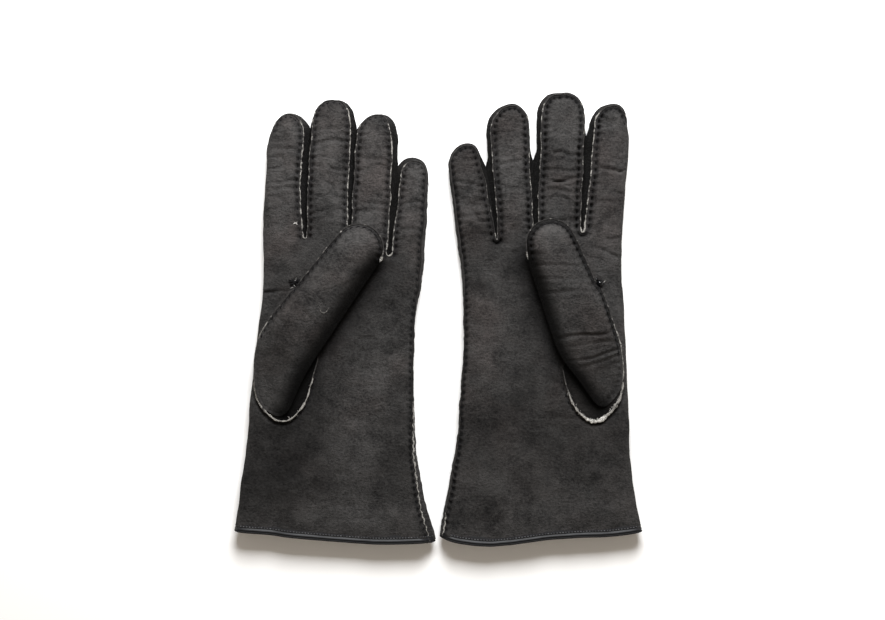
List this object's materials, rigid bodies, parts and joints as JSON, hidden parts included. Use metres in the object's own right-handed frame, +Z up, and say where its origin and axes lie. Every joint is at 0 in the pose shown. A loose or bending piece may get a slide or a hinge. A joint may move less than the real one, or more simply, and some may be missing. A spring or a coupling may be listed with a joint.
{
  "type": "leather gloves",
  "caption": "Pair of long hand-sewn shearling suede gloves lying palm up, thumbs folded over the palms, with bound cuffs and raw-edge seams.",
  "frame": {"origin": "on the surface the gloves lie on, below the middle of the pair's bounding box", "axes": "+Z up out of the palms, +Y from the cuffs towards the fingertips, +X from the left glove to the right glove"},
  "size_m": [0.246, 0.2728, 0.0333],
  "materials": {
    "suede": "matte napped suede",
    "fourchette_suede": "matte napped suede",
    "raw_edge": "matte cut edge of undyed shearling",
    "binding": "smooth satin leather",
    "thread": "waxed thread",
    "fleece": "short trimmed wool"
  },
  "bodies": {
    "left_hand": {"left_palm_panel": "suede", "left_back_panel": "suede", "left_index_side_fold": "suede", "left_little_side_wall": "suede", "left_side_seam_welt": "raw_edge", "left_fourchette_fork_index_middle": "fourchette_suede", "left_fourchette_fork_middle_ring": "fourchette_suede", "left_fourchette_fork_ring_little": "fourchette_suede", "left_cuff_binding": "binding", "left_thumb_gusset": "suede", "left_thumb_hole_welt": "raw_edge"},
    "left_thumb": {"left_thumb_sleeve": "suede"},
    "left_index": {"left_index_front": "suede", "left_index_back": "suede", "left_index_fold": "suede", "left_index_fourchette_middle_side": "fourchette_suede"},
    "left_middle": {"left_middle_front": "suede", "left_middle_back": "suede", "left_middle_fourchette_index_side": "fourchette_suede", "left_middle_fourchette_ring_side": "fourchette_suede"},
    "left_ring": {"left_ring_front": "suede", "left_ring_back": "suede", "left_ring_fourchette_middle_side": "fourchette_suede", "left_ring_fourchette_little_side": "fourchette_suede"},
    "left_little": {"left_little_front": "suede", "left_little_back": "suede", "left_little_fourchette_ring_side": "fourchette_suede", "left_little_seam_wall": "suede"},
    "right_hand": {"right_palm_panel": "suede", "right_back_panel": "suede", "right_index_side_fold": "suede", "right_little_side_wall": "suede", "right_side_seam_welt": "raw_edge", "right_fourchette_fork_index_middle": "fourchette_suede", "right_fourchette_fork_middle_ring": "fourchette_suede", "right_fourchette_fork_ring_little": "fourchette_suede", "right_cuff_binding": "binding", "right_thumb_gusset": "suede", "right_thumb_hole_welt": "raw_edge"},
    "right_thumb": {"right_thumb_sleeve": "suede"},
    "right_index": {"right_index_front": "suede", "right_index_back": "suede", "right_index_fold": "suede", "right_index_fourchette_middle_side": "fourchette_suede"},
    "right_middle": {"right_middle_front": "suede", "right_middle_back": "suede", "right_middle_fourchette_index_side": "fourchette_suede", "right_middle_fourchette_ring_side": "fourchette_suede"},
    "right_ring": {"right_ring_front": "suede", "right_ring_back": "suede", "right_ring_fourchette_middle_side": "fourchette_suede", "right_ring_fourchette_little_side": "fourchette_suede"},
    "right_little": {"right_little_front": "suede", "right_little_back": "suede", "right_little_fourchette_ring_side": "fourchette_suede", "right_little_seam_wall": "suede"}
  },
  "joints": [
    {"name": "left_thumb_fold", "type": "hinge", "parent": "left_hand", "child": "left_thumb", "pos_m": [-0.0795, -0.001, 0.0283], "axis": [0.3672, -0.9301, 0], "range_deg": [0, 95]},
    {"name": "left_index_bend", "type": "hinge", "parent": "left_hand", "child": "left_index", "pos_m": [-0.0924, 0.058, 0.013], "axis": [1, 0, 0], "range_deg": [0, 85]},
    {"name": "left_middle_bend", "type": "hinge", "parent": "left_hand", "child": "left_middle", "pos_m": [-0.0665, 0.062, 0.013], "axis": [1, 0, 0], "range_deg": [0, 85]},
    {"name": "left_ring_bend", "type": "hinge", "parent": "left_hand", "child": "left_ring", "pos_m": [-0.0405, 0.062, 0.013], "axis": [1, 0, 0], "range_deg": [0, 85]},
    {"name": "left_little_bend", "type": "hinge", "parent": "left_hand", "child": "left_little", "pos_m": [-0.0187, 0.0475, 0.013], "axis": [1, 0, 0], "range_deg": [0, 85]},
    {"name": "right_hand_apart", "type": "slide", "parent": "left_hand", "child": "right_hand", "axis": [1, 0, 0], "range_m": [0, 0.1]},
    {"name": "right_thumb_fold", "type": "hinge", "parent": "right_hand", "child": "right_thumb", "pos_m": [0.086, -0.003, 0.0283], "axis": [0.4167, 0.9091, 0], "range_deg": [0, 95]},
    {"name": "right_index_bend", "type": "hinge", "parent": "right_hand", "child": "right_index", "pos_m": [0.0992, 0.062, 0.013], "axis": [1, 0, 0], "range_deg": [0, 85]},
    {"name": "right_middle_bend", "type": "hinge", "parent": "right_hand", "child": "right_middle", "pos_m": [0.0727, 0.0655, 0.013], "axis": [1, 0, 0], "range_deg": [0, 85]},
    {"name": "right_ring_bend", "type": "hinge", "parent": "right_hand", "child": "right_ring", "pos_m": [0.0456, 0.0655, 0.013], "axis": [1, 0, 0], "range_deg": [0, 85]},
    {"name": "right_little_bend", "type": "hinge", "parent": "right_hand", "child": "right_little", "pos_m": [0.0223, 0.056, 0.013], "axis": [1, 0, 0], "range_deg": [0, 85]}
  ]
}
